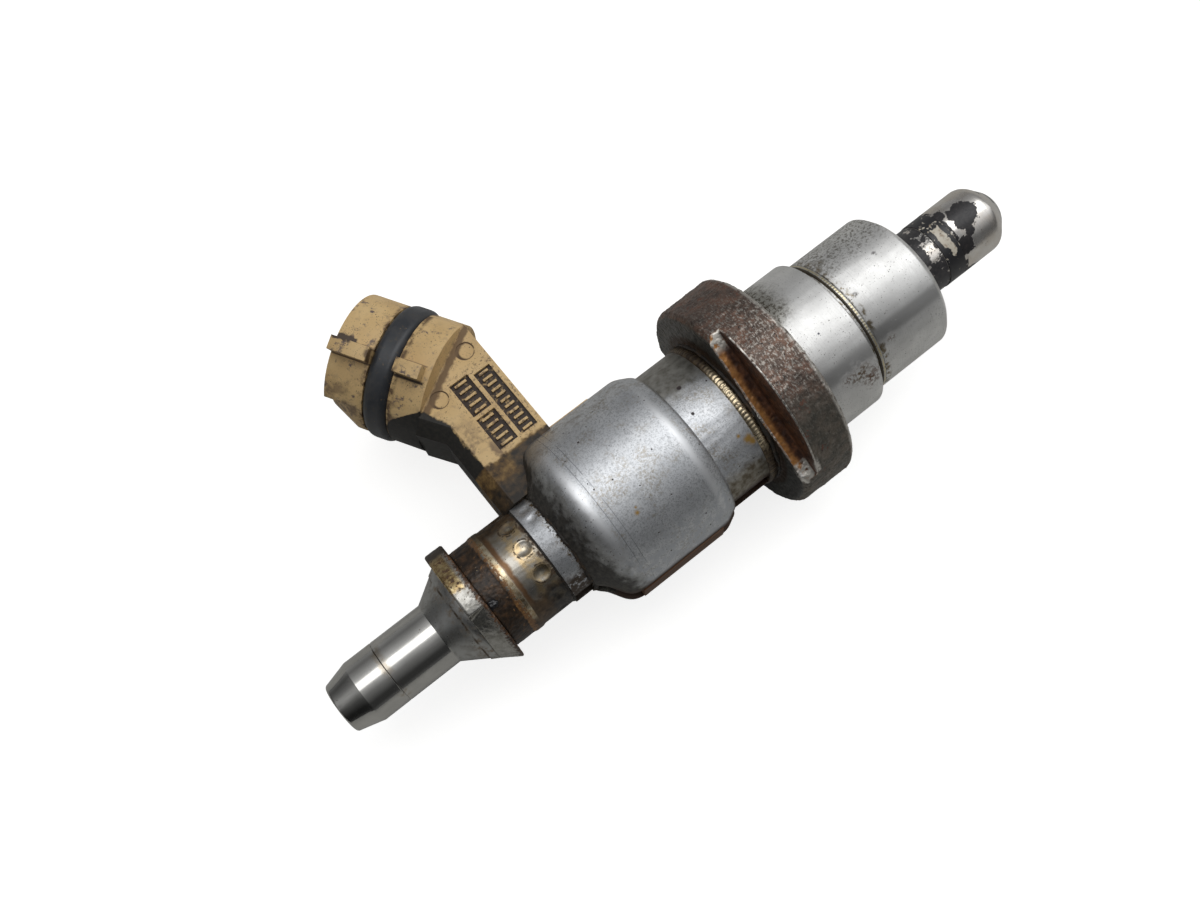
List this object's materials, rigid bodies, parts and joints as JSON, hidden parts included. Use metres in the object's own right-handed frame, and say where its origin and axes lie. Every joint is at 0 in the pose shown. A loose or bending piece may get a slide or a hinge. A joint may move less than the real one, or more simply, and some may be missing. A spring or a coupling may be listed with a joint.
{
  "type": "solenoid fuel injector",
  "caption": "Solenoid fuel injector with an inlet tube, a two-shell coil yoke, a clamp flange, a slim nozzle and a slanted side connector arm.",
  "frame": {"origin": "on the injector's axis, in the plane of the clamp flange's nozzle-side seat", "axes": "+X along the injector's axis towards the nozzle, +Y towards the connector arm, +Z out of the arm's front face"},
  "size_m": [0.0936, 0.0498, 0.0266],
  "materials": {
    "polished_steel": "polished",
    "machined_steel": "fine turned",
    "nozzle_steel": "polished, sooted",
    "plated_steel": "satin zinc plate, stained",
    "rusty_steel": "stained and rusted",
    "rusty_forging": "dark, rusted",
    "core_steel": "ground",
    "spring_steel": "drawn wire",
    "steel_mesh": "woven mesh",
    "weld_metal": "rippled weld bead, straw tint",
    "brass": "satin",
    "tinned_brass": "tin plated",
    "copper": "enamelled wire",
    "bobbin_plastic": "moulded",
    "tan_plastic": "moulded resin, soiled",
    "black_rubber": "satin rubber",
    "ptfe_seal": "sooted low-friction plastic"
  },
  "bodies": {
    "housing": {"inlet_tube": "polished_steel", "locating_collar": "rusty_steel", "filter_frame": "brass", "inlet_filter": "steel_mesh", "core_sleeve": "rusty_steel", "fixed_core": "core_steel", "adjusting_tube": "core_steel", "return_spring": "spring_steel", "nonmagnetic_ring": "core_steel", "magnetic_sleeve": "core_steel", "nozzle_holder": "machined_steel", "clamp_flange": "rusty_forging", "body_weld": "weld_metal", "lift_shim": "machined_steel", "nozzle_body": "nozzle_steel", "swirl_guide": "machined_steel", "orifice_plate": "nozzle_steel", "tip_seal": "ptfe_seal", "nozzle_retainer": "machined_steel", "retainer_weld": "weld_metal", "yoke_front": "plated_steel", "yoke_back": "plated_steel", "coil_bobbin": "bobbin_plastic", "coil_winding": "copper", "terminal_pins": "tinned_brass", "terminal_leads": "copper", "connector_body": "tan_plastic", "connector_o_ring": "black_rubber"},
    "needle_valve": {"armature": "core_steel", "needle": "polished_steel", "valve_ball": "polished_steel"}
  },
  "joints": [
    {"name": "needle_lift", "type": "slide", "parent": "housing", "child": "needle_valve", "axis": [-1, 0, 0], "range_m": [0, 0.0001], "stiffness_N_per_m": 3000, "springref_m": -0.003}
  ]
}
